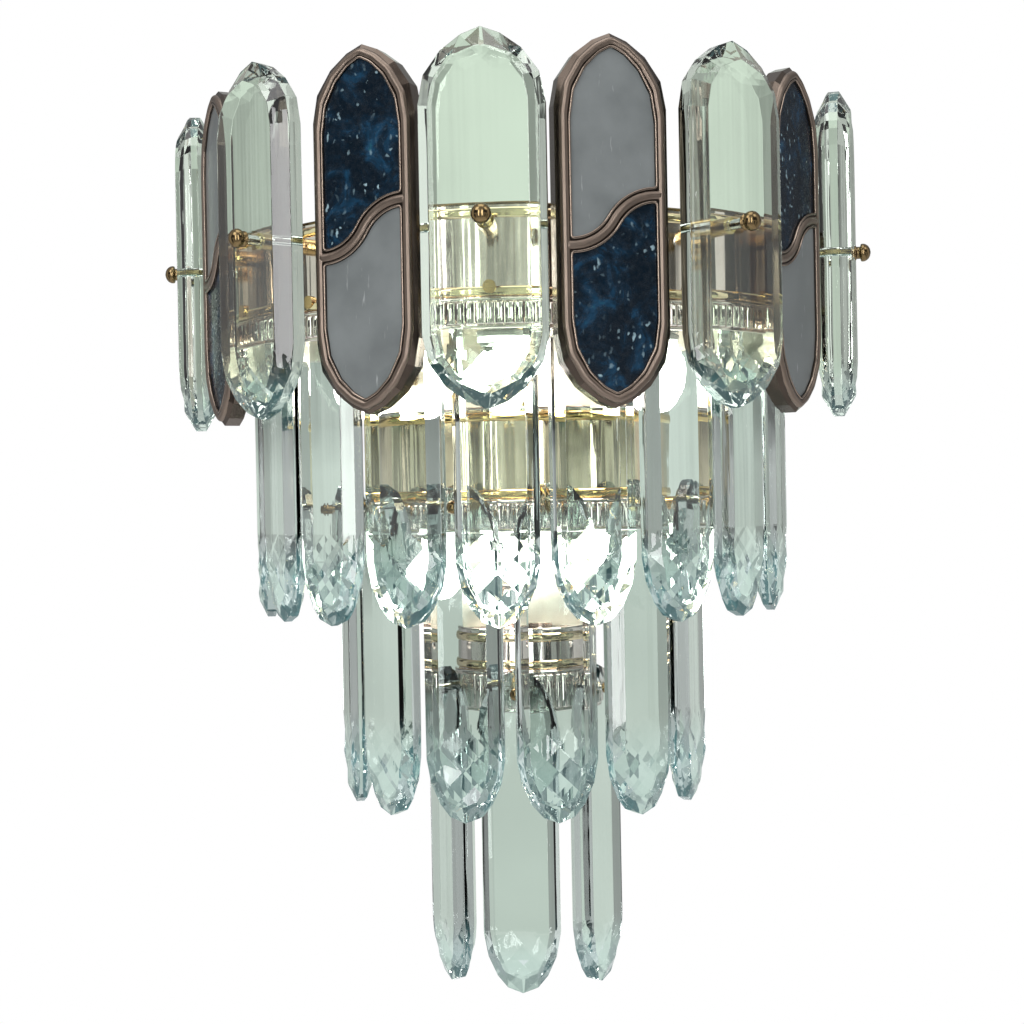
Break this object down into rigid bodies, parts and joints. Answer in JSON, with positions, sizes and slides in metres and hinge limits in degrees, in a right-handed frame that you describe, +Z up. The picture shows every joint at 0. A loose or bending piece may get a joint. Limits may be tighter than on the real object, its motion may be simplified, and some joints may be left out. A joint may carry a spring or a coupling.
{
  "type": "wall lamp",
  "caption": "Half-round tiered wall lamp with hanging bevelled glass bars, framed inlay panels and plug-in bulbs between stepped metal drums.",
  "frame": {"origin": "middle of the wall bracket's two slots, on the wall", "axes": "+Z up, +Y into the wall, +X to the right as seen from the room"},
  "size_m": [0.3422, 0.1837, 0.4195],
  "materials": {
    "glass": "polished, faintly green",
    "gold_metal": "mirror polished champagne gold",
    "bronze_frame": "polished rose bronze",
    "blue_stone": "polished, marbled",
    "grey_stone": "satin",
    "bulb": "frosted, lit",
    "ceramic": "plain",
    "steel": "zinc plated",
    "white_plastic": "plain",
    "lead_sheath": "plain",
    "black_rubber": "plain"
  },
  "bodies": {
    "frame": {"back_pan": "gold_metal", "upper_drum": "gold_metal", "middle_drum": "gold_metal", "lower_drum": "gold_metal", "top_plate": "gold_metal", "upper_deck": "gold_metal", "middle_deck": "gold_metal", "lower_deck": "gold_metal", "conduit_tube": "gold_metal", "threaded_pins": "gold_metal", "spacer_sleeves": "gold_metal", "ball_nuts": "gold_metal", "wall_cap_nuts": "gold_metal", "wall_bracket": "steel", "bracket_studs": "steel", "pan_screws": "steel", "earth_screw": "steel", "lampholders": "ceramic", "terminal_block": "white_plastic", "lamp_leads": "lead_sheath", "cable_grommet": "black_rubber", "blue_inlays": "blue_stone", "grey_inlays": "grey_stone", "panel_frame_1": "bronze_frame", "panel_frame_2": "bronze_frame", "panel_frame_3": "bronze_frame", "panel_frame_4": "bronze_frame"},
    "upper_glass_1": {"upper_glass_1": "glass"},
    "upper_glass_2": {"upper_glass_2": "glass"},
    "upper_glass_3": {"upper_glass_3": "glass"},
    "upper_glass_4": {"upper_glass_4": "glass"},
    "upper_glass_5": {"upper_glass_5": "glass"},
    "second_glass_1": {"second_glass_1": "glass"},
    "second_glass_2": {"second_glass_2": "glass"},
    "second_glass_3": {"second_glass_3": "glass"},
    "second_glass_4": {"second_glass_4": "glass"},
    "second_glass_5": {"second_glass_5": "glass"},
    "second_glass_6": {"second_glass_6": "glass"},
    "second_glass_7": {"second_glass_7": "glass"},
    "second_glass_8": {"second_glass_8": "glass"},
    "second_glass_9": {"second_glass_9": "glass"},
    "third_glass_1": {"third_glass_1": "glass"},
    "third_glass_2": {"third_glass_2": "glass"},
    "third_glass_3": {"third_glass_3": "glass"},
    "third_glass_4": {"third_glass_4": "glass"},
    "third_glass_5": {"third_glass_5": "glass"},
    "third_glass_6": {"third_glass_6": "glass"},
    "bottom_glass_1": {"bottom_glass_1": "glass"},
    "bottom_glass_2": {"bottom_glass_2": "glass"},
    "bottom_glass_3": {"bottom_glass_3": "glass"},
    "upper_bulb_1": {"upper_bulb_1": "bulb"},
    "upper_bulb_2": {"upper_bulb_2": "bulb"},
    "upper_bulb_3": {"upper_bulb_3": "bulb"},
    "lower_bulb_1": {"lower_bulb_1": "bulb"},
    "lower_bulb_2": {"lower_bulb_2": "bulb"},
    "lower_bulb_3": {"lower_bulb_3": "bulb"}
  },
  "joints": [
    {"name": "upper_glass_1_turn", "type": "hinge", "parent": "frame", "child": "upper_glass_1", "pos_m": [-0.15265, -0.03692, 0.051], "axis": [-0.9848, -0.1736, 0], "range_deg": [-3, 3]},
    {"name": "upper_glass_2_turn", "type": "hinge", "parent": "frame", "child": "upper_glass_2", "pos_m": [-0.09964, -0.12874, 0.051], "axis": [-0.6428, -0.766, 0], "range_deg": [-3, 3]},
    {"name": "upper_glass_3_turn", "type": "hinge", "parent": "frame", "child": "upper_glass_3", "pos_m": [0, -0.16501, 0.051], "axis": [0, -1, 0], "range_deg": [-3, 3]},
    {"name": "upper_glass_4_turn", "type": "hinge", "parent": "frame", "child": "upper_glass_4", "pos_m": [0.09964, -0.12874, 0.051], "axis": [0.6428, -0.766, 0], "range_deg": [-3, 3]},
    {"name": "upper_glass_5_turn", "type": "hinge", "parent": "frame", "child": "upper_glass_5", "pos_m": [0.15265, -0.03692, 0.051], "axis": [0.9848, -0.1736, 0], "range_deg": [-3, 3]},
    {"name": "second_glass_1_swing", "type": "hinge", "parent": "frame", "child": "second_glass_1", "pos_m": [-0.11893, -0.04054, 0.026], "axis": [-0.9686, -0.2487, 0], "range_deg": [-0.75, 0.75]},
    {"name": "second_glass_2_swing", "type": "hinge", "parent": "frame", "child": "second_glass_2", "pos_m": [-0.10263, -0.07741, 0.026], "axis": [-0.8358, -0.549, 0], "range_deg": [-0.75, 0.75]},
    {"name": "second_glass_3_swing", "type": "hinge", "parent": "frame", "child": "second_glass_3", "pos_m": [-0.07526, -0.10702, 0.026], "axis": [-0.6129, -0.7902, 0], "range_deg": [-0.75, 0.75]},
    {"name": "second_glass_4_swing", "type": "hinge", "parent": "frame", "child": "second_glass_4", "pos_m": [-0.03977, -0.12617, 0.026], "axis": [-0.3239, -0.9461, 0], "range_deg": [-0.75, 0.75]},
    {"name": "second_glass_5_swing", "type": "hinge", "parent": "frame", "child": "second_glass_5", "pos_m": [0, -0.13279, 0.026], "axis": [0, -1, 0], "range_deg": [-0.75, 0.75]},
    {"name": "second_glass_6_swing", "type": "hinge", "parent": "frame", "child": "second_glass_6", "pos_m": [0.03977, -0.12617, 0.026], "axis": [0.3239, -0.9461, 0], "range_deg": [-0.75, 0.75]},
    {"name": "second_glass_7_swing", "type": "hinge", "parent": "frame", "child": "second_glass_7", "pos_m": [0.07526, -0.10702, 0.026], "axis": [0.6129, -0.7902, 0], "range_deg": [-0.75, 0.75]},
    {"name": "second_glass_8_swing", "type": "hinge", "parent": "frame", "child": "second_glass_8", "pos_m": [0.10263, -0.07741, 0.026], "axis": [0.8358, -0.549, 0], "range_deg": [-0.75, 0.75]},
    {"name": "second_glass_9_swing", "type": "hinge", "parent": "frame", "child": "second_glass_9", "pos_m": [0.11893, -0.04054, 0.026], "axis": [0.9686, -0.2487, 0], "range_deg": [-0.75, 0.75]},
    {"name": "third_glass_1_swing", "type": "hinge", "parent": "frame", "child": "third_glass_1", "pos_m": [-0.07845, -0.03549, -0.064], "axis": [-0.9511, -0.309, 0], "range_deg": [-0.9, 0.9]},
    {"name": "third_glass_2_swing", "type": "hinge", "parent": "frame", "child": "third_glass_2", "pos_m": [-0.05647, -0.07013, -0.064], "axis": [-0.6845, -0.729, 0], "range_deg": [-0.9, 0.9]},
    {"name": "third_glass_3_swing", "type": "hinge", "parent": "frame", "child": "third_glass_3", "pos_m": [-0.02051, -0.0899, -0.064], "axis": [-0.2487, -0.9686, 0], "range_deg": [-0.9, 0.9]},
    {"name": "third_glass_4_swing", "type": "hinge", "parent": "frame", "child": "third_glass_4", "pos_m": [0.02051, -0.0899, -0.064], "axis": [0.2487, -0.9686, 0], "range_deg": [-0.9, 0.9]},
    {"name": "third_glass_5_swing", "type": "hinge", "parent": "frame", "child": "third_glass_5", "pos_m": [0.05647, -0.07013, -0.064], "axis": [0.6845, -0.729, 0], "range_deg": [-0.9, 0.9]},
    {"name": "third_glass_6_swing", "type": "hinge", "parent": "frame", "child": "third_glass_6", "pos_m": [0.07845, -0.03549, -0.064], "axis": [0.9511, -0.309, 0], "range_deg": [-0.9, 0.9]},
    {"name": "bottom_glass_1_swing", "type": "hinge", "parent": "frame", "child": "bottom_glass_1", "pos_m": [-0.03464, -0.03, -0.1515], "axis": [-0.866, -0.5, 0], "range_deg": [-1.2, 1.2]},
    {"name": "bottom_glass_2_swing", "type": "hinge", "parent": "frame", "child": "bottom_glass_2", "pos_m": [0, -0.05, -0.1515], "axis": [0, -1, 0], "range_deg": [-1.2, 1.2]},
    {"name": "bottom_glass_3_swing", "type": "hinge", "parent": "frame", "child": "bottom_glass_3", "pos_m": [0.03464, -0.03, -0.1515], "axis": [0.866, -0.5, 0], "range_deg": [-1.2, 1.2]},
    {"name": "upper_bulb_1_pull", "type": "slide", "parent": "frame", "child": "upper_bulb_1", "axis": [0, 0, -1], "range_m": [0, 0.018]},
    {"name": "upper_bulb_2_pull", "type": "slide", "parent": "frame", "child": "upper_bulb_2", "axis": [0, 0, -1], "range_m": [0, 0.018]},
    {"name": "upper_bulb_3_pull", "type": "slide", "parent": "frame", "child": "upper_bulb_3", "axis": [0, 0, -1], "range_m": [0, 0.018]},
    {"name": "lower_bulb_1_pull", "type": "slide", "parent": "frame", "child": "lower_bulb_1", "axis": [0, 0, -1], "range_m": [0, 0.018]},
    {"name": "lower_bulb_2_pull", "type": "slide", "parent": "frame", "child": "lower_bulb_2", "axis": [0, 0, -1], "range_m": [0, 0.018]},
    {"name": "lower_bulb_3_pull", "type": "slide", "parent": "frame", "child": "lower_bulb_3", "axis": [0, 0, -1], "range_m": [0, 0.018]}
  ]
}
